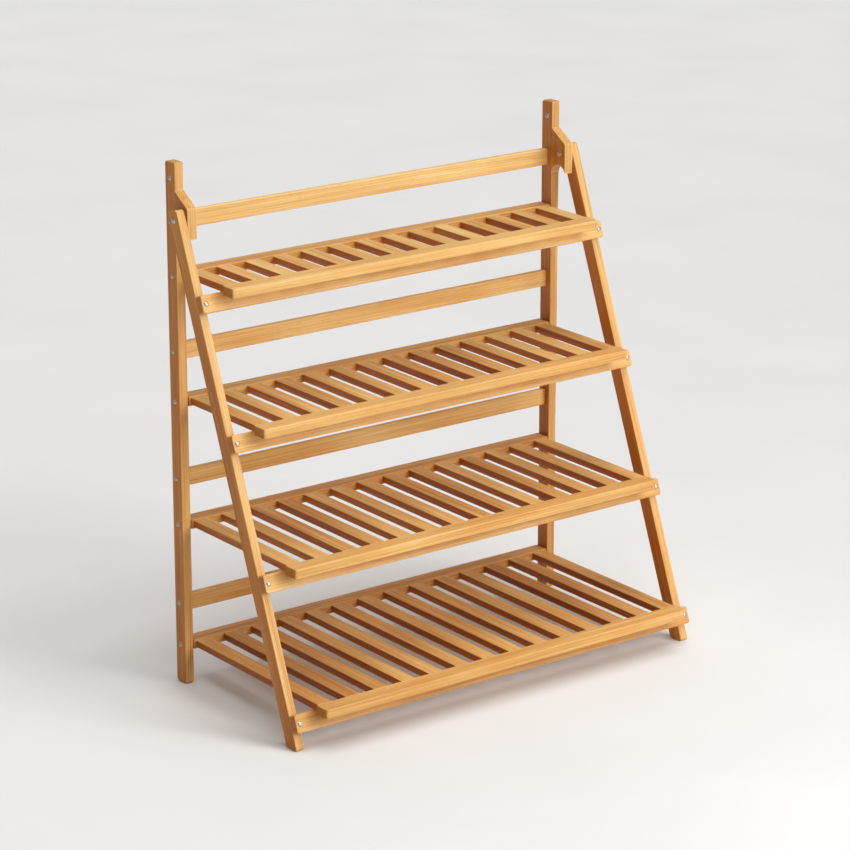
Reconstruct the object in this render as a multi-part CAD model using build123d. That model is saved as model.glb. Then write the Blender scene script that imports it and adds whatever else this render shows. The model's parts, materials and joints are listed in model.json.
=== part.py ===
from build123d import *
from math import cos, radians, sin, tan
import os

# A folding shoe rack of four slatted tiers. A straight rear frame stands upright, a slanted front
# frame hangs from two hinge blocks near its top, and each shelf turns on two screws in the uprights
# and rests on a crossbar of the front frame.
# X runs across the rack, Y from the front (negative) to the back, Z up from the floor.
# The origin is on the floor, in the middle of the outline. Sizes are in millimetres.

# Overall driving dimensions
HEIGHT = 800.0
TIERS = 4
TOP_SHELF_HEIGHT = 636.5
TIER_PITCH = 190.0
LEAN_DEG = 21.3                  # of the front legs, from the vertical
UPRIGHT_INNER_X = 339.0          # half the clear width between the uprights

# Sections of the wooden sticks
STICK = 25.0                     # the wide side of uprights, legs and shelf rails
UPRIGHT_THICKNESS = 15.0
LEG_THICKNESS = 14.0
CROSSBAR_THICKNESS = 14.0
CROSSBAR_WIDTH = 27.0
BACK_RAIL_THICKNESS = 9.0
BACK_RAIL_WIDTH = 26.0
SHELF_RAIL_THICKNESS = 15.0
SLAT_THICKNESS = 11.0

# Rear frame
BACK_RAIL_TOP = 725.0            # top edge of the highest back rail
BACK_RAIL_PITCH = 195.3
BACK_RAIL_INSET = 6.0            # behind the rails, to the uprights' back faces
TOP_BOLT_HEIGHT = 776.0
FOOT_ROUNDING = 6.0
LEG_TOE_ROUNDING = 4.0
TOP_ROUNDING = 5.0

# Hinge blocks and the pivot of the front frame
PIVOT_FROM_BACK = 43.0
PIVOT_HEIGHT = 722.0
BLOCK_REACH = 32.5               # how far a block stands out in front of its upright
BLOCK_TOP_BACK = 759.0
BLOCK_TOP_FRONT = 738.0
BLOCK_FRONT_BOTTOM = 692.0
BLOCK_ARCH_TOP = 703.5
BLOCK_ARCH_FOOT = 688.0
BLOCK_CORNER = 4.0
WASHER_THICKNESS = 1.0
LEG_PAST_PIVOT = 13.0
LEG_TOP_ROUNDING = 6.0

# Shelves
SHELF_OVERHANG = 54.5            # front edge of a shelf, in front of the legs' front faces
SLATS = 14
SLAT_PITCH = 49.5
FRONT_RAIL_PAST_SLATS = 2.2
PIVOT_BAR_GAP = 1.0              # at each end of a pivot bar
PIVOT_BAR_RISE = 1.5             # of its top above the slats
REST_GAP = 0.3                   # between a shelf's slats and its crossbar

# Edges
STICK_EDGE = 1.6
SLAT_EDGE = 1.3
END_CORNER = 4.0                 # seen from in front on a crossbar, from above on a front rail
BUTT_EDGE = 0.4                  # on ends that meet another piece

# Hardware
SCREW_HEAD_RADIUS = 4.0
SCREW_HEAD_HEIGHT = 1.5
SCREW_SHANK_RADIUS = 2.0
SCREW_BITE = 24.0                # length of a screw in the second piece
CROSSBAR_SCREW_BITE = 17.5
HEAD_SHOULDER = 0.8              # where a domed head curves over, as a share of its radius and height
PIVOT_SCREW_RADIUS = 2.5
PIVOT_BOLT_RADIUS = 3.0
PIVOT_BOLT_HEAD_RADIUS = 5.0
PIVOT_NUT_RADIUS = 4.0
PIVOT_NUT_LENGTH = 10.0
WASHER_RADIUS = 8.0
RUNNING_GAP = 0.05               # radial, round a turning pin
RECESS_SPAN = 3.6
RECESS_WIDTH = 0.9
RECESS_DEPTH = 0.8

# Worked out from the driving dimensions
LEAN = radians(LEAN_DEG)
UPRIGHT_OUTER_X = UPRIGHT_INNER_X + UPRIGHT_THICKNESS
LEG_INNER_X = UPRIGHT_OUTER_X + WASHER_THICKNESS
LEG_OUTER_X = LEG_INNER_X + LEG_THICKNESS
PIVOT_BAR_HALF = UPRIGHT_INNER_X - PIVOT_BAR_GAP
LOWEST_SHELF_HEIGHT = TOP_SHELF_HEIGHT - (TIERS - 1) * TIER_PITCH
LEG_FRONT_FROM_BACK = PIVOT_FROM_BACK + STICK / 2 / cos(LEAN)
DEPTH = LEG_FRONT_FROM_BACK + (PIVOT_HEIGHT - LOWEST_SHELF_HEIGHT) * tan(LEAN) + SHELF_OVERHANG
BACK_Y = DEPTH / 2
UPRIGHT_FRONT_Y = BACK_Y - STICK
UPRIGHT_MID_Y = BACK_Y - STICK / 2
BACK_RAIL_BACK_Y = BACK_Y - BACK_RAIL_INSET
BACK_RAIL_FRONT_Y = BACK_RAIL_BACK_Y - BACK_RAIL_THICKNESS
BACK_RAIL_MID_Y = BACK_RAIL_BACK_Y - BACK_RAIL_THICKNESS / 2
PIVOT_Y = BACK_Y - PIVOT_FROM_BACK
FRONT_RAIL_HALF = (SLATS - 1) / 2 * SLAT_PITCH + STICK / 2 + FRONT_RAIL_PAST_SLATS
SIDES = {"left": -1, "right": 1}


def shelf_height(tier):
    """Top of a shelf; tier 0 is the highest."""
    return TOP_SHELF_HEIGHT - tier * TIER_PITCH


def shelf_front_y(tier):
    """Front face of a shelf's front rail."""
    drop = PIVOT_HEIGHT - shelf_height(tier)
    return BACK_Y - LEG_FRONT_FROM_BACK - drop * tan(LEAN) - SHELF_OVERHANG


def pivot_bar_top(tier):
    return shelf_height(tier) + PIVOT_BAR_RISE


def shelf_pivot_height(tier):
    return pivot_bar_top(tier) - SHELF_RAIL_THICKNESS / 2


def back_rail_top(tier):
    return BACK_RAIL_TOP - tier * BACK_RAIL_PITCH


def on_leg(down, forward):
    """(y, z) of a point that far down the leg from the pivot and in front of its centre line."""
    y = PIVOT_Y - down * sin(LEAN) - forward * cos(LEAN)
    z = PIVOT_HEIGHT - down * cos(LEAN) + forward * sin(LEAN)
    return (y, z)


def down_leg(z, forward):
    """Distance down the leg at which a line parallel to it reaches the height z."""
    return (PIVOT_HEIGHT - z + forward * sin(LEAN)) / cos(LEAN)


def crossbar_top(tier):
    """Distance down the leg of a crossbar's upper edge, just under the slats of its shelf."""
    slat_bottom = shelf_height(tier) - SLAT_THICKNESS
    return down_leg(slat_bottom - REST_GAP, STICK / 2 + CROSSBAR_THICKNESS)


def soften_ends(solid, axis, radius):
    """Round the edges of the two end faces that lie across the given axis."""
    ends = solid.faces().filter_by(axis).sort_by(axis)
    return fillet(ends[0].edges() + ends[-1].edges(), radius)


def straight_bar(half_length, y_low, z_top, width, thickness, end_edge):
    """A level bar along X with rounded long edges, its width along Y and its thickness along Z."""
    section = Pos(y_low + width / 2, z_top - thickness / 2) * Rectangle(width, thickness)
    section = fillet(section.vertices(), STICK_EDGE)
    bar = Pos(-half_length, 0, 0) * extrude(Plane.YZ * section, 2 * half_length)
    return soften_ends(bar, Axis.X, end_edge)


def side_hole(y, z, x_low, x_high, radius):
    """A round hole along X."""
    drill = Cylinder(radius, x_high - x_low, align=(Align.CENTER, Align.CENTER, Align.MIN))
    return Plane(origin=(x_low, y, z), z_dir=(1, 0, 0)) * drill


def facing_x(direction, x, y, z):
    """A plane at the given point that faces along +X or -X."""
    return Plane(origin=(x, y, z), x_dir=(0, 1, 0), z_dir=(direction, 0, 0))


def through_side(side, y, z, radius):
    """A hole right through the upright or leg and everything beyond it on one side."""
    inner_x = UPRIGHT_INNER_X - STICK
    outer_x = LEG_OUTER_X + STICK
    low, high = sorted((side * inner_x, side * outer_x))
    return side_hole(y, z, low, high, radius)


# Hardware

def fastener(head_radius, head_height, shank_radius, shank_length):
    """A screw or bolt along -Z with a low domed head above the origin and a cross recess."""
    shoulder = (head_radius * HEAD_SHOULDER, head_height * HEAD_SHOULDER)
    half_section = make_face([
        Line((0, -shank_length), (shank_radius, -shank_length)),
        Line((shank_radius, -shank_length), (shank_radius, 0)),
        Line((shank_radius, 0), (head_radius, 0)),
        ThreePointArc((head_radius, 0), shoulder, (0, head_height)),
        Line((0, head_height), (0, -shank_length)),
    ])
    solid = revolve(Plane.XZ * half_section, Axis.Z)
    recess = Pos(0, 0, head_height - RECESS_DEPTH)
    bottom = (Align.CENTER, Align.CENTER, Align.MIN)
    solid -= recess * Box(RECESS_SPAN, RECESS_WIDTH, head_height, align=bottom)
    solid -= recess * Box(RECESS_WIDTH, RECESS_SPAN, head_height, align=bottom)
    return solid


def side_screw(side, y, z, shank_radius, bite):
    """A screw through an upright from its outer face."""
    length = UPRIGHT_THICKNESS + bite
    facing = facing_x(side, side * UPRIGHT_OUTER_X, y, z)
    return facing * fastener(SCREW_HEAD_RADIUS, SCREW_HEAD_HEIGHT, shank_radius, length)


def crossbar_screw(side, tier):
    """A screw through the middle of a crossbar's end, into the leg."""
    middle = crossbar_top(tier) + CROSSBAR_WIDTH / 2
    y, z = on_leg(middle, STICK / 2 + CROSSBAR_THICKNESS)
    outward = (0, -cos(LEAN), sin(LEAN))
    middle_x = side * (LEG_INNER_X + LEG_THICKNESS / 2)
    facing = Plane(origin=(middle_x, y, z), x_dir=(1, 0, 0), z_dir=outward)
    length = CROSSBAR_THICKNESS + CROSSBAR_SCREW_BITE
    return facing * fastener(SCREW_HEAD_RADIUS, SCREW_HEAD_HEIGHT, SCREW_SHANK_RADIUS, length)


def pivot_bolt(side):
    """The bolt that the front frame swings on, its head against the leg's outer face."""
    length = LEG_OUTER_X - UPRIGHT_INNER_X - RECESS_DEPTH
    facing = facing_x(side, side * LEG_OUTER_X, PIVOT_Y, PIVOT_HEIGHT)
    return facing * fastener(PIVOT_BOLT_HEAD_RADIUS, SCREW_HEAD_HEIGHT, PIVOT_BOLT_RADIUS, length)


def pivot_nut(side):
    """The sleeve nut of a pivot bolt, its flange against the inner face of the hinge block."""
    facing = facing_x(-side, side * UPRIGHT_INNER_X, PIVOT_Y, PIVOT_HEIGHT)
    nut = fastener(PIVOT_BOLT_HEAD_RADIUS, SCREW_HEAD_HEIGHT, PIVOT_NUT_RADIUS, PIVOT_NUT_LENGTH)
    nut -= Cylinder(PIVOT_BOLT_RADIUS, PIVOT_NUT_LENGTH, align=(Align.CENTER, Align.CENTER, Align.MAX))
    return facing * nut


def pivot_washer(side):
    """The washer that keeps a leg off its hinge block."""
    ring = Cylinder(WASHER_RADIUS, WASHER_THICKNESS) - Cylinder(PIVOT_BOLT_RADIUS, WASHER_THICKNESS)
    middle_x = side * (UPRIGHT_OUTER_X + WASHER_THICKNESS / 2)
    return Plane(origin=(middle_x, PIVOT_Y, PIVOT_HEIGHT), z_dir=(1, 0, 0)) * ring


def top_bolt(side):
    """The bolt near the top of an upright, with a head on each face."""
    head = fastener(SCREW_HEAD_RADIUS, SCREW_HEAD_HEIGHT, PIVOT_SCREW_RADIUS, UPRIGHT_THICKNESS / 2)
    outer = facing_x(side, side * UPRIGHT_OUTER_X, UPRIGHT_MID_Y, TOP_BOLT_HEIGHT)
    inner = facing_x(-side, side * UPRIGHT_INNER_X, UPRIGHT_MID_Y, TOP_BOLT_HEIGHT)
    return outer * head + inner * head


# Rear frame

def upright(side):
    """A straight post with rounded feet and a rounded back corner at the top."""
    outline = Rectangle(STICK, HEIGHT, align=(Align.MAX, Align.MIN))
    outline = fillet(outline.vertices().group_by(Axis.Y)[0], FOOT_ROUNDING)
    back_top = outline.vertices().group_by(Axis.Y)[-1].sort_by(Axis.X)[-1]
    outline = fillet(back_top, TOP_ROUNDING)
    low_x = min(side * UPRIGHT_INNER_X, side * UPRIGHT_OUTER_X)
    post = Pos(low_x, BACK_Y, 0) * extrude(Plane.YZ * outline, UPRIGHT_THICKNESS)
    post = soften_ends(post, Axis.X, STICK_EDGE)
    for tier in range(TIERS):
        rail_z = back_rail_top(tier) - BACK_RAIL_WIDTH / 2
        post -= through_side(side, BACK_RAIL_MID_Y, rail_z, SCREW_SHANK_RADIUS)
        post -= through_side(side, UPRIGHT_MID_Y, shelf_pivot_height(tier), PIVOT_SCREW_RADIUS)
    post -= through_side(side, UPRIGHT_MID_Y, TOP_BOLT_HEIGHT, PIVOT_SCREW_RADIUS)
    return post


def back_rail(tier):
    """A thin rail between the uprights."""
    top = back_rail_top(tier)
    rail = straight_bar(UPRIGHT_INNER_X, BACK_RAIL_FRONT_Y, top, BACK_RAIL_THICKNESS, BACK_RAIL_WIDTH,
                        BUTT_EDGE)
    for side in SIDES.values():
        low, high = sorted((side * (UPRIGHT_INNER_X - SCREW_BITE), side * UPRIGHT_OUTER_X))
        rail -= side_hole(BACK_RAIL_MID_Y, top - BACK_RAIL_WIDTH / 2, low, high, SCREW_SHANK_RADIUS)
    return rail


def hinge_block(side):
    """The block in front of an upright that carries the pivot, with a sloped top and an arch below."""
    back_y = UPRIGHT_FRONT_Y
    front_y = back_y - BLOCK_REACH
    outline = make_face([
        Line((back_y, BLOCK_TOP_BACK), (front_y, BLOCK_TOP_FRONT)),
        Line((front_y, BLOCK_TOP_FRONT), (front_y, BLOCK_FRONT_BOTTOM)),
        ThreePointArc((front_y, BLOCK_FRONT_BOTTOM), (back_y - BLOCK_REACH / 2, BLOCK_ARCH_TOP),
                      (back_y, BLOCK_ARCH_FOOT)),
        Line((back_y, BLOCK_ARCH_FOOT), (back_y, BLOCK_TOP_BACK)),
    ])
    front_top = outline.vertices().group_by(Axis.X)[0].sort_by(Axis.Y)[-1]
    outline = fillet(front_top, BLOCK_CORNER)
    low_x = min(side * UPRIGHT_INNER_X, side * UPRIGHT_OUTER_X)
    block = Pos(low_x, 0, 0) * extrude(Plane.YZ * outline, UPRIGHT_THICKNESS)
    block -= through_side(side, PIVOT_Y, PIVOT_HEIGHT, PIVOT_BOLT_RADIUS)
    nut_x = sorted((side * (UPRIGHT_INNER_X - STICK), side * (UPRIGHT_INNER_X + PIVOT_NUT_LENGTH)))
    block -= side_hole(PIVOT_Y, PIVOT_HEIGHT, nut_x[0], nut_x[1], PIVOT_NUT_RADIUS)
    return block


# Front frame

def front_leg(side):
    """A slanted leg with a rounded top, cut level at the floor."""
    half = STICK / 2
    outline = make_face(Polyline(
        on_leg(-LEG_PAST_PIVOT, half),
        on_leg(-LEG_PAST_PIVOT, -half),
        on_leg(down_leg(0, -half), -half),
        on_leg(down_leg(0, half), half),
        close=True,
    ))
    levels = outline.vertices().sort_by(Axis.Y)
    outline = fillet(levels[2:], LEG_TOP_ROUNDING)
    outline = fillet(outline.vertices().group_by(Axis.Y)[0].sort_by(Axis.X)[-1], FOOT_ROUNDING)
    outline = fillet(outline.vertices().group_by(Axis.Y)[0].sort_by(Axis.X)[0], LEG_TOE_ROUNDING)
    low_x = min(side * LEG_INNER_X, side * LEG_OUTER_X)
    leg = Pos(low_x, 0, 0) * extrude(Plane.YZ * outline, LEG_THICKNESS)
    leg = soften_ends(leg, Axis.X, STICK_EDGE)
    leg -= through_side(side, PIVOT_Y, PIVOT_HEIGHT, PIVOT_BOLT_RADIUS + RUNNING_GAP)
    for tier in range(TIERS):
        leg -= crossbar_screw(side, tier)
    return leg


def front_crossbar(tier):
    """A bar with round corners across the front faces of both legs, which its shelf rests on."""
    y, z = on_leg(crossbar_top(tier) + CROSSBAR_WIDTH / 2, STICK / 2)
    outward = (0, -cos(LEAN), sin(LEAN))
    against_legs = Plane(origin=(0, y, z), x_dir=(1, 0, 0), z_dir=outward)
    outline = RectangleRounded(2 * LEG_OUTER_X, CROSSBAR_WIDTH, END_CORNER)
    bar = extrude(against_legs * outline, CROSSBAR_THICKNESS)
    bar = fillet(bar.edges(), STICK_EDGE)
    for side in SIDES.values():
        bar -= crossbar_screw(side, tier)
    return bar


# Shelves

def front_rail(tier):
    """The rail along a shelf's front edge, which hangs in front of the crossbar."""
    bottom = Plane.XY.offset(shelf_height(tier) - SHELF_RAIL_THICKNESS)
    outline = Rectangle(2 * FRONT_RAIL_HALF, STICK, align=(Align.CENTER, Align.MIN))
    outline = fillet(outline.vertices().group_by(Axis.Y)[0], END_CORNER)
    rail = extrude(bottom * Pos(0, shelf_front_y(tier)) * outline, SHELF_RAIL_THICKNESS)
    slat_side = rail.faces().sort_by(Axis.Y)[-1]
    upper_joint = slat_side.edges().sort_by(Axis.Z)[-1]
    return fillet(rail.edges() - ShapeList([upper_joint]), STICK_EDGE)


def pivot_bar(tier):
    """The bar at a shelf's back, between the uprights, which turns on the two pivot screws."""
    bar = straight_bar(PIVOT_BAR_HALF, UPRIGHT_FRONT_Y, pivot_bar_top(tier), STICK, SHELF_RAIL_THICKNESS,
                       STICK_EDGE)
    for side in SIDES.values():
        deep_x = UPRIGHT_INNER_X - SCREW_BITE - PIVOT_BAR_GAP
        low, high = sorted((side * deep_x, side * UPRIGHT_OUTER_X))
        hole_radius = PIVOT_SCREW_RADIUS + RUNNING_GAP
        bar -= side_hole(UPRIGHT_MID_Y, shelf_pivot_height(tier), low, high, hole_radius)
    return bar


def slats(tier):
    """The slats from the front rail to the pivot bar, flush with the rail's top, as separate solids."""
    start_y = shelf_front_y(tier) + STICK
    section = fillet(Rectangle(STICK, SLAT_THICKNESS).vertices(), SLAT_EDGE)
    solids = []
    for number in range(SLATS):
        x = (number - (SLATS - 1) / 2) * SLAT_PITCH
        middle = (x, start_y, shelf_height(tier) - SLAT_THICKNESS / 2)
        facing = Plane(origin=middle, x_dir=(1, 0, 0), z_dir=(0, 1, 0))
        solids.append(extrude(facing * section, UPRIGHT_FRONT_Y - start_y))
    return Compound(children=solids)


# Every node, by name

def build_nodes():
    nodes = {}
    for name, side in SIDES.items():
        nodes["rear_upright_" + name] = upright(side)
        nodes["hinge_block_" + name] = hinge_block(side)
        nodes["front_leg_" + name] = front_leg(side)
    for tier in range(TIERS):
        number = str(tier + 1)
        nodes["back_rail_" + number] = back_rail(tier)
        nodes["front_crossbar_" + number] = front_crossbar(tier)
        nodes["shelf_" + number + "_front_rail"] = front_rail(tier)
        nodes["shelf_" + number + "_pivot_bar"] = pivot_bar(tier)
        nodes["shelf_" + number + "_slats"] = slats(tier)
    both_sides = SIDES.values()
    every_end = [(side, tier) for side in both_sides for tier in range(TIERS)]
    nodes["back_rail_screws"] = Compound(children=[
        side_screw(side, BACK_RAIL_MID_Y, back_rail_top(tier) - BACK_RAIL_WIDTH / 2,
                   SCREW_SHANK_RADIUS, SCREW_BITE)
        for side, tier in every_end])
    nodes["shelf_pivot_screws"] = Compound(children=[
        side_screw(side, UPRIGHT_MID_Y, shelf_pivot_height(tier), PIVOT_SCREW_RADIUS, SCREW_BITE)
        for side, tier in every_end])
    nodes["crossbar_screws"] = Compound(children=[crossbar_screw(side, tier) for side, tier in every_end])
    nodes["frame_pivot_bolts"] = Compound(children=[pivot_bolt(side) for side in both_sides])
    nodes["frame_pivot_nuts"] = Compound(children=[pivot_nut(side) for side in both_sides])
    nodes["frame_pivot_washers"] = Compound(children=[pivot_washer(side) for side in both_sides])
    nodes["upright_top_bolts"] = Compound(children=[top_bolt(side) for side in both_sides])
    return nodes


os.makedirs("parts", exist_ok=True)
for node_name, node_shape in build_nodes().items():
    export_step(node_shape, "parts/" + node_name + ".step")
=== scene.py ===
import bpy
import json
from math import atan2, pi, radians
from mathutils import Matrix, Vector


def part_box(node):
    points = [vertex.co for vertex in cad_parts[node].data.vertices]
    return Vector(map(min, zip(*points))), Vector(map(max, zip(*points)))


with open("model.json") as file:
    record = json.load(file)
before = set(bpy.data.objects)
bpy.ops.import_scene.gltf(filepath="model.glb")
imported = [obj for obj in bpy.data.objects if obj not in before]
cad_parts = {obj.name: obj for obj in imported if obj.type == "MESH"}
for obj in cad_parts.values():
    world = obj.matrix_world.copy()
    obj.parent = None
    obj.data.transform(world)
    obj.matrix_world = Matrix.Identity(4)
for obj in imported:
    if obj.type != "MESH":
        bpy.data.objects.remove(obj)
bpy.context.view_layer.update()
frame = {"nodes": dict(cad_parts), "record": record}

# A folding shoe rack of four slatted tiers in honey-coloured lacquered wood. The shapes are the
# CAD nodes' own; this script gives each one its finish and sets the studio round them.
# Everything is in metres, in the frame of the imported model.

# Colours are linear. A ramp is a list of (position, colour or grey level). A span is the two ends
# of what is read, then the two values they become. A noise is a stretch of the space it is read
# in, or None, then its scale, detail and roughness. A relief is a strength and a depth.

# Wood
CREAM_WOOD = (0.88, 0.68, 0.38)
PALE_WOOD = (0.80, 0.53, 0.205)
HONEY_WOOD = (0.645, 0.348, 0.102)
DARK_WOOD = (0.42, 0.165, 0.034)
END_WOOD = (0.40, 0.165, 0.036)
# Colour of the wood's edges: partly wear, partly a painted highlight
WORN_AND_HIGHLIT_EDGE_WOOD = (0.90, 0.64, 0.30)
PORE_WOOD = (0.28, 0.10, 0.022)
WOOD_RAMP = [(0.0, CREAM_WOOD), (0.18, PALE_WOOD), (0.56, HONEY_WOOD), (1.0, DARK_WOOD)]
SEED_SHIFT = (1.37, 0.211, 0.173)      # how far each step of the seed moves the grain

# Wood: growth rings
RING_SPACING = 0.0031
PITH_OFFSET = 0.085
PITH_RISE = 0.6                         # how high the pith lies, as a share of its offset
GRAIN_WANDER = 0.010
WANDER = ((1.6, 9.0, 9.0), 1.0, 2.0, 0.5)
RING_RAMP = [(0.0, 0.25), (0.16, 0.0), (0.58, 0.30), (0.90, 1.0), (1.0, 0.25)]

# Wood: fibres
STREAKS = ((0.028, 1.0, 1.0), 150.0, 3.0, 0.6)
HAIRS = ((0.012, 1.0, 1.0), 950.0, 2.0, 0.6)
PORES = ((0.045, 1.0, 1.0), 1500.0, 1.0, 0.5)
PORE_SPAN = (0.66, 0.74, 0.0, 0.45)
CLOUDS = ((0.35, 1.0, 1.0), 11.0, 2.0, 0.5)

# Wood: how much each thing darkens it
RING_SHADE = 0.20
STREAK_SHADE = 0.85
HAIR_SHADE = 0.30
CLOUD_SHADE = 0.55

# Wood: painted shade on the left and right sides, a red flush, and the end grain
# Painted shade for the sides of the sticks, and a deeper one for the slot walls between slats
SIDE_PAINTED_SHADE = (0.86, 0.56, 0.22)
SLOT_PAINTED_SHADE = (0.74, 0.42, 0.13)
SIDE_SHADE_SPAN = (0.55, 0.95, 0.0, 1.0)
RED_FLUSH = (1.0, 0.86, 0.72)
FLUSH = ((0.22, 1.0, 1.0), 34.0, 2.0, 0.5)
FLUSH_SPAN = (0.46, 0.68, 0.0, 0.75)
END_SPAN = (0.75, 0.97, 0.0, 0.40)

# Wood: slats, each with its own grain and tone
SLAT_PITCH = 0.0495
SLAT_TONE_REACH = 0.15
SLAT_SHIFT = (4.0, 0.4, 0.4)
SLAT_SEED = 17.0

# Paler edges of wood and steel: wear on both, and on wood also a painted arris highlight
EDGE_REACH = 0.0016
EDGE_SAMPLES = 6
EDGE_SPAN = (0.995, 0.90, 0.0, 1.0)
PATCHY_SPAN = (0.35, 0.62, 0.35, 0.75)

# Lacquer
LACQUER_SPAN = (0.3, 0.7, 0.42, 0.58)
EDGE_DULLING = 0.08
END_DULLING = 0.20
COAT_WEIGHT = 0.05
COAT_ROUGHNESS = 0.22
LACQUER_IOR = 1.40
BRUSHING = (None, 60.0, 1.0, 0.5)
RING_RELIEF = (0.16, 0.00012)
HAIR_RELIEF = (0.25, 0.00010)
BRUSH_RELIEF = (0.10, 0.0006)

# Steel
STEEL_RAMP = [(0.30, (0.66, 0.57, 0.46)), (0.70, (0.46, 0.38, 0.29))]
RUBBED_STEEL = (0.76, 0.68, 0.57)
STEEL_EDGE_SHARE = 0.5
STEEL_SEED_STEP = 0.7
STEEL_SEED_SHIFT = (1.0, 0.5, 0.0)
TARNISH = (None, 420.0, 4.0, 0.6)
TARNISH_SPAN = (0.3, 0.7, 0.34, 0.52)
MARKS = ((1.0, 1.0, 0.2), 4200.0, 2.0, 0.5)
MARK_RELIEF = (0.15, 0.00004)

# Studio: each sun's name, direction, spread in degrees, strength and colour
SUNS = [
    ("key", (0.42, -0.76, 0.50), 24.0, 1.3, (1.0, 0.98, 0.95)),
    ("overhead", (0.05, -0.20, 0.98), 55.0, 2.05, (1.0, 1.0, 1.0)),
    ("back_fill", (0.25, 0.66, 0.70), 50.0, 0.45, (1.0, 0.96, 0.90)),
]
WINDOW_PLACE = (0.4, -1.75, 0.85)
WINDOW_FACING = (0.4, -1.75, 0.35)
WINDOW_SIZE = 1.0
WINDOW_ENERGY = 12.5
WINDOW_COLOUR = (1.0, 0.98, 0.95)
WORLD_LIGHT = 0.12
WORLD_SEEN = 0.78
WORLD_COLOUR = (1.0, 1.0, 1.0, 1.0)
FLOOR_REACH = 60.0
FLOOR_RAMP = [(0.3, (0.715, 0.715, 0.71)), (0.7, (0.745, 0.745, 0.74))]
FLOOR_MOTTLE = (None, 3.0, 3.0, 0.5)
FLOOR_ROUGHNESS = 0.9

# Camera: its angles in degrees, its lens and sensor in millimetres
CAMERA_PLACE = (-2.855, -3.778, 1.881)
CAMERA_YAW = 36.834
CAMERA_PITCH = -17.576
CAMERA_LENS = 141.3
CAMERA_SENSOR = 36.0
CAMERA_RANGE = 100.0

# Places of the colour mix node's sockets
MIX_FIRST = 6
MIX_SECOND = 7
MIX_RESULT = 2

nodes = frame["nodes"]
record = frame["record"]


class Graph:
    """A material's nodes, with short calls to add and join them."""

    def __init__(self, name):
        self.material = bpy.data.materials.new(name)
        self.material.use_nodes = True
        self.tree = self.material.node_tree
        self.tree.nodes.clear()
        self.output = self.add("ShaderNodeOutputMaterial")
        self.shader = self.add("ShaderNodeBsdfPrincipled")
        self.join(self.shader.outputs["BSDF"], self.output.inputs["Surface"])

    def add(self, kind, **settings):
        node = self.tree.nodes.new(kind)
        for key, value in settings.items():
            setattr(node, key, value)
        return node

    def join(self, source, target):
        self.tree.links.new(source, target)

    def feed(self, socket, value):
        """Link a socket to another, or set it to a plain value."""
        if isinstance(value, bpy.types.NodeSocket):
            self.join(value, socket)
        else:
            socket.default_value = value

    def math(self, operation, first, second=0.0, third=0.0):
        node = self.add("ShaderNodeMath", operation=operation)
        for socket, value in zip(node.inputs, (first, second, third)):
            self.feed(socket, value)
        return node.outputs[0]

    def vector(self, operation, first, second=(0.0, 0.0, 0.0)):
        node = self.add("ShaderNodeVectorMath", operation=operation)
        self.feed(node.inputs[0], first)
        self.feed(node.inputs[1], second)
        number_wanted = operation in ("LENGTH", "DOT_PRODUCT")
        return node.outputs["Value"] if number_wanted else node.outputs[0]

    def scaled(self, vector, factors):
        return self.vector("MULTIPLY", vector, factors)

    def noise(self, vector, kind):
        stretch, scale, detail, roughness = kind
        if stretch is not None:
            vector = self.scaled(vector, stretch)
        node = self.add("ShaderNodeTexNoise")
        self.join(vector, node.inputs["Vector"])
        node.inputs["Scale"].default_value = scale
        node.inputs["Detail"].default_value = detail
        node.inputs["Roughness"].default_value = roughness
        return node

    def ramp(self, factor, stops):
        """A colour ramp through the stops."""
        node = self.add("ShaderNodeValToRGB")
        self.join(factor, node.inputs["Fac"])
        elements = node.color_ramp.elements
        while len(elements) < len(stops):
            elements.new(0.5)
        for element, (position, colour) in zip(elements, stops):
            element.position = position
            if isinstance(colour, float):
                colour = (colour, colour, colour)
            element.color = (*colour, 1.0)
        return node.outputs["Color"]

    def mix(self, factor, first, second, blend="MIX"):
        node = self.add("ShaderNodeMix", data_type="RGBA", blend_type=blend)
        self.feed(node.inputs["Factor"], factor)
        for place, value in ((MIX_FIRST, first), (MIX_SECOND, second)):
            self.feed(node.inputs[place], (*value, 1.0) if isinstance(value, tuple) else value)
        return node.outputs[MIX_RESULT]

    def tinted(self, colour, tint, mask):
        """The colour multiplied by the tint, as far as the mask says."""
        return self.mix(mask, colour, self.mix(1.0, colour, tint, "MULTIPLY"))

    def shaded(self, shade, noise, amount):
        """The shade moved up or down by the noise, by half the amount at most."""
        swing = self.math("SUBTRACT", noise.outputs["Fac"], 0.5)
        return self.math("MULTIPLY_ADD", swing, amount, shade)

    def spread(self, value, span):
        """The value carried from the span's first range to its second, and held inside it."""
        node = self.add("ShaderNodeMapRange", clamp=True)
        for socket, given in zip(node.inputs, (value, *span)):
            self.feed(socket, given)
        return node.outputs[0]

    def bump(self, height, relief, normal=None):
        node = self.add("ShaderNodeBump")
        node.inputs["Strength"].default_value, node.inputs["Distance"].default_value = relief
        self.join(height, node.inputs["Height"])
        if normal is not None:
            self.join(normal, node.inputs["Normal"])
        return node.outputs[0]

    def rounded_edge_mask(self):
        """1 on the rounded edges, fading to 0 on the faces beside them."""
        softened = self.add("ShaderNodeBevel", samples=EDGE_SAMPLES)
        softened.inputs["Radius"].default_value = EDGE_REACH
        geometry = self.add("ShaderNodeNewGeometry")
        true_normal = geometry.outputs["True Normal"]
        agreement = self.vector("DOT_PRODUCT", softened.outputs[0], true_normal)
        return self.spread(agreement, EDGE_SPAN)


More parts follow.
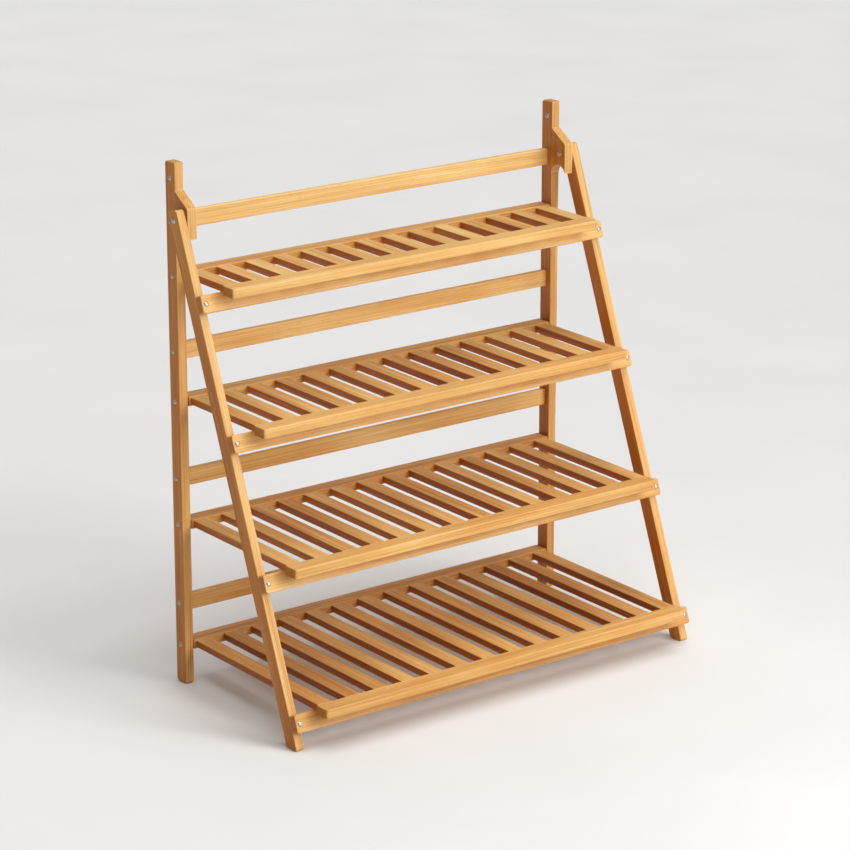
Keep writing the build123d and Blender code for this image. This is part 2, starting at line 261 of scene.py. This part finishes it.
def wood(name, seed, turn, tone, side_shade, lane=None):
    """Lacquered wood whose grain runs along the local X that turn, an XYZ rotation, gives.

    A higher tone, from 0 to 1, makes the whole piece darker. side_shade multiplies the colour of
    its left and right sides: painted shade. lane is the pitch of a row of slats along X: each one
    then has its own grain and its own tone.
    """
    graph = Graph(name)
    place = graph.add("ShaderNodeTexCoord").outputs["Object"]
    mapping = graph.add("ShaderNodeMapping")
    graph.join(place, mapping.inputs["Vector"])
    mapping.inputs["Rotation"].default_value = turn
    mapping.inputs["Location"].default_value = [seed * shift for shift in SEED_SHIFT]
    along = mapping.outputs[0]
    piece_tone = tone
    if lane is not None:
        across = graph.add("ShaderNodeSeparateXYZ")
        graph.join(place, across.inputs[0])
        number = graph.math("FLOOR", graph.math("DIVIDE", across.outputs["X"], lane))
        chance = graph.add("ShaderNodeTexWhiteNoise", noise_dimensions="1D")
        graph.join(graph.math("ADD", number, seed * SLAT_SEED), chance.inputs["W"])
        shift = graph.scaled(chance.outputs["Color"], SLAT_SHIFT)
        along = graph.vector("ADD", along, shift)
        tone_span = (0.0, 1.0, tone - SLAT_TONE_REACH, tone + SLAT_TONE_REACH)
        piece_tone = graph.spread(chance.outputs["Value"], tone_span)

    # Growth rings round a pith line outside the stick, which wanders along the length
    wander = graph.noise(along, WANDER)
    offset = graph.vector("SUBTRACT", wander.outputs["Color"], (0.5, 0.5, 0.5))
    offset = graph.scaled(offset, (0.0, GRAIN_WANDER * 2, GRAIN_WANDER * 2))
    from_pith = graph.vector("ADD", graph.scaled(along, (0.0, 1.0, 1.0)), offset)
    from_pith = graph.vector("ADD", from_pith, (0.0, PITH_OFFSET, PITH_OFFSET * PITH_RISE))
    radius = graph.vector("LENGTH", from_pith)
    ring = graph.math("FRACT", graph.math("DIVIDE", radius, RING_SPACING))
    late_wood = graph.ramp(ring, RING_RAMP)

    # Fibres: long soft streaks, fine hair lines and short pores, under broad clouds
    streaks = graph.noise(along, STREAKS)
    hairs = graph.noise(along, HAIRS)
    pores = graph.noise(along, PORES)
    clouds = graph.noise(along, CLOUDS)

    shade = graph.math("MULTIPLY_ADD", late_wood, RING_SHADE, piece_tone)
    shade = graph.shaded(shade, streaks, STREAK_SHADE)
    shade = graph.shaded(shade, hairs, HAIR_SHADE)
    shade = graph.shaded(shade, clouds, CLOUD_SHADE)
    colour = graph.ramp(shade, WOOD_RAMP)
    flush = graph.noise(along, FLUSH)
    colour = graph.tinted(colour, RED_FLUSH, graph.spread(flush.outputs["Fac"], FLUSH_SPAN))
    pore_mask = graph.spread(pores.outputs["Fac"], PORE_SPAN)
    colour = graph.mix(pore_mask, colour, PORE_WOOD)

    # Painted shade: the sawn sides, which face left and right, are darkened
    normal = graph.add("ShaderNodeTexCoord").outputs["Normal"]
    sideways = graph.math("ABSOLUTE", graph.vector("DOT_PRODUCT", normal, (1.0, 0.0, 0.0)))
    colour = graph.tinted(colour, side_shade, graph.spread(sideways, SIDE_SHADE_SPAN))

    # End grain drinks more of the finish
    facing = graph.add("ShaderNodeVectorRotate", rotation_type="EULER_XYZ")
    graph.join(normal, facing.inputs["Vector"])
    facing.inputs["Rotation"].default_value = turn
    end_on = graph.vector("DOT_PRODUCT", facing.outputs[0], (1.0, 0.0, 0.0))
    end_mask = graph.spread(graph.math("ABSOLUTE", end_on), END_SPAN)
    end_colour = graph.mix(late_wood, END_WOOD, PORE_WOOD)
    colour = graph.mix(end_mask, colour, end_colour)

    # Edges paler in patches: wear where the lacquer is thin, and a painted arris highlight
    edges = graph.rounded_edge_mask()
    patchy = graph.spread(clouds.outputs["Fac"], PATCHY_SPAN)
    colour = graph.mix(graph.math("MULTIPLY", edges, patchy), colour, WORN_AND_HIGHLIT_EDGE_WOOD)
    graph.join(colour, graph.shader.inputs["Base Color"])

    # Satin lacquer
    roughness = graph.spread(streaks.outputs["Fac"], LACQUER_SPAN)
    roughness = graph.math("MULTIPLY_ADD", edges, EDGE_DULLING, roughness)
    roughness = graph.math("MULTIPLY_ADD", end_mask, END_DULLING, roughness)
    graph.join(roughness, graph.shader.inputs["Roughness"])
    graph.shader.inputs["Coat Weight"].default_value = COAT_WEIGHT
    graph.shader.inputs["Coat Roughness"].default_value = COAT_ROUGHNESS
    graph.shader.inputs["IOR"].default_value = LACQUER_IOR
    grain = graph.bump(late_wood, RING_RELIEF)
    grain = graph.bump(hairs.outputs["Fac"], HAIR_RELIEF, grain)
    brushed_on = graph.noise(along, BRUSHING)
    grain = graph.bump(brushed_on.outputs["Fac"], BRUSH_RELIEF, grain)
    graph.join(grain, graph.shader.inputs["Normal"])
    return graph.material


def plated_steel(name, seed):
    """Dull plated steel with fine turning marks and a little tarnish."""
    graph = Graph(name)
    place = graph.add("ShaderNodeTexCoord").outputs["Object"]
    place = graph.vector("ADD", place, [seed * shift for shift in STEEL_SEED_SHIFT])
    tarnish = graph.noise(place, TARNISH)
    marks = graph.noise(place, MARKS)
    colour = graph.ramp(tarnish.outputs["Fac"], STEEL_RAMP)
    edges = graph.rounded_edge_mask()
    colour = graph.mix(graph.math("MULTIPLY", edges, STEEL_EDGE_SHARE), colour, RUBBED_STEEL)
    graph.join(colour, graph.shader.inputs["Base Color"])
    graph.shader.inputs["Metallic"].default_value = 1.0
    roughness = graph.spread(tarnish.outputs["Fac"], TARNISH_SPAN)
    graph.join(roughness, graph.shader.inputs["Roughness"])
    relief = graph.bump(marks.outputs["Fac"], MARK_RELIEF)
    graph.join(relief, graph.shader.inputs["Normal"])
    return graph.material


def give(node_name, material):
    """Make this a CAD node's one material."""
    mesh = nodes[node_name].data
    mesh.materials.clear()
    mesh.materials.append(material)


# Which way the grain of each kind of piece runs

def leg_lean():
    """The slope of the front legs, from the lower corners of the top and bottom crossbars."""
    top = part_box("front_crossbar_1")[0]
    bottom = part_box("front_crossbar_4")[0]
    return atan2(top.y - bottom.y, top.z - bottom.z)


ALONG_X = (0.0, 0.0, 0.0)
ALONG_Y = (0.0, 0.0, -pi / 2)
ALONG_Z = (0.0, pi / 2, 0.0)
ALONG_LEG = (leg_lean(), pi / 2, 0.0)

# How dark each kind of piece is, and what each tier adds, from the top down
TONES = {"front_leg": 0.43, "rear_upright": 0.50, "hinge_block": 0.50, "back_rail": 0.30,
         "front_crossbar": 0.46, "front_rail": 0.42, "pivot_bar": 0.62, "slats": 0.48}
# The tier steps are painted light and shade: the top tier paler, the lower tiers darker
TIER_PAINTED_LIGHT_AND_SHADE = {"1": -0.08, "2": -0.02, "3": 0.04, "4": 0.11}


def finish_wood():
    """A material of its own for every wooden node."""
    wooden = [part["node"] for part in record["subparts"] if part["material_slot"] == "wood"]
    for count, node_name in enumerate(wooden):
        tone = next(value for kind, value in TONES.items() if kind in node_name)
        # Painted light and shade by tier, paler at the top and darker lower down
        tone += next((value for tier, value in TIER_PAINTED_LIGHT_AND_SHADE.items() if tier in node_name), 0.0)
        # Painted shade on the left and right sides, deeper on the slot walls of the slats
        side_shade = SIDE_PAINTED_SHADE
        lane = None
        if node_name.endswith("_slats"):
            turn = ALONG_Y
            side_shade = SLOT_PAINTED_SHADE
            lane = SLAT_PITCH
        elif node_name.startswith("front_leg"):
            turn = ALONG_LEG
        elif node_name.startswith(("rear_upright", "hinge_block")):
            turn = ALONG_Z
        else:
            turn = ALONG_X
        give(node_name, wood("wood_" + node_name, count + 1.0, turn, tone, side_shade, lane))


def finish_steel():
    """A material of its own for every steel node."""
    metal = [part["node"] for part in record["subparts"] if part["material_slot"] == "steel"]
    for count, node_name in enumerate(metal):
        give(node_name, plated_steel("steel_" + node_name, count * STEEL_SEED_STEP))


# Studio

def pale_floor():
    """A wide, plain, slightly mottled floor at height 0."""
    mesh = bpy.data.meshes.new("floor")
    reach = FLOOR_REACH
    corners = [(-reach, -reach, 0), (reach, -reach, 0), (reach, reach, 0), (-reach, reach, 0)]
    mesh.from_pydata(corners, [], [(0, 1, 2, 3)])
    floor = bpy.data.objects.new("floor", mesh)
    bpy.context.scene.collection.objects.link(floor)
    graph = Graph("pale_floor")
    place = graph.add("ShaderNodeTexCoord").outputs["Object"]
    mottle = graph.noise(place, FLOOR_MOTTLE)
    colour = graph.ramp(mottle.outputs["Fac"], FLOOR_RAMP)
    graph.join(colour, graph.shader.inputs["Base Color"])
    graph.shader.inputs["Roughness"].default_value = FLOOR_ROUGHNESS
    mesh.materials.append(graph.material)


def soft_sun(name, towards, spread, strength, colour):
    """A light from the direction given, as soft as the angle it spreads over."""
    data = bpy.data.lights.new(name, "SUN")
    data.angle = radians(spread)
    data.energy = strength
    data.color = colour
    light = bpy.data.objects.new(name, data)
    light.rotation_euler = Vector(towards).to_track_quat("Z", "Y").to_euler()
    bpy.context.scene.collection.objects.link(light)


def studio_world():
    """A plain world that lights the rack weakly, but is pale where the camera sees it."""
    world = bpy.data.worlds.new("studio")
    world.use_nodes = True
    tree = world.node_tree
    tree.nodes.clear()
    rays = tree.nodes.new("ShaderNodeLightPath")
    choose = tree.nodes.new("ShaderNodeMixShader")
    output = tree.nodes.new("ShaderNodeOutputWorld")
    tree.links.new(rays.outputs["Is Camera Ray"], choose.inputs["Fac"])
    for slot, strength in ((1, WORLD_LIGHT), (2, WORLD_SEEN)):
        background = tree.nodes.new("ShaderNodeBackground")
        background.inputs["Strength"].default_value = strength
        background.inputs["Color"].default_value = WORLD_COLOUR
        tree.links.new(background.outputs[0], choose.inputs[slot])
    tree.links.new(choose.outputs[0], output.inputs["Surface"])
    return world


def studio_light():
    """A soft key and a window in front, a broad overhead, a weak fill behind and a weak world."""
    for sun in SUNS:
        soft_sun(*sun)
    window = bpy.data.lights.new("window", "AREA")
    window.size = WINDOW_SIZE
    window.energy = WINDOW_ENERGY
    window.color = WINDOW_COLOUR
    panel = bpy.data.objects.new("window", window)
    panel.location = WINDOW_PLACE
    panel.rotation_euler = Vector(WINDOW_FACING).to_track_quat("Z", "Y").to_euler()
    bpy.context.scene.collection.objects.link(panel)
    bpy.context.scene.world = studio_world()


def camera():
    """A camera that looks down at the rack from its front left."""
    data = bpy.data.cameras.new("camera")
    data.lens = CAMERA_LENS
    data.sensor_width = CAMERA_SENSOR
    data.clip_end = CAMERA_RANGE
    eye = bpy.data.objects.new("camera", data)
    eye.location = CAMERA_PLACE
    eye.rotation_euler = (radians(90.0 + CAMERA_PITCH), 0.0, radians(-CAMERA_YAW))
    bpy.context.scene.collection.objects.link(eye)
    bpy.context.scene.camera = eye


finish_wood()
finish_steel()
pale_floor()
studio_light()
camera()
bpy.context.scene.view_settings.view_transform = "Standard"
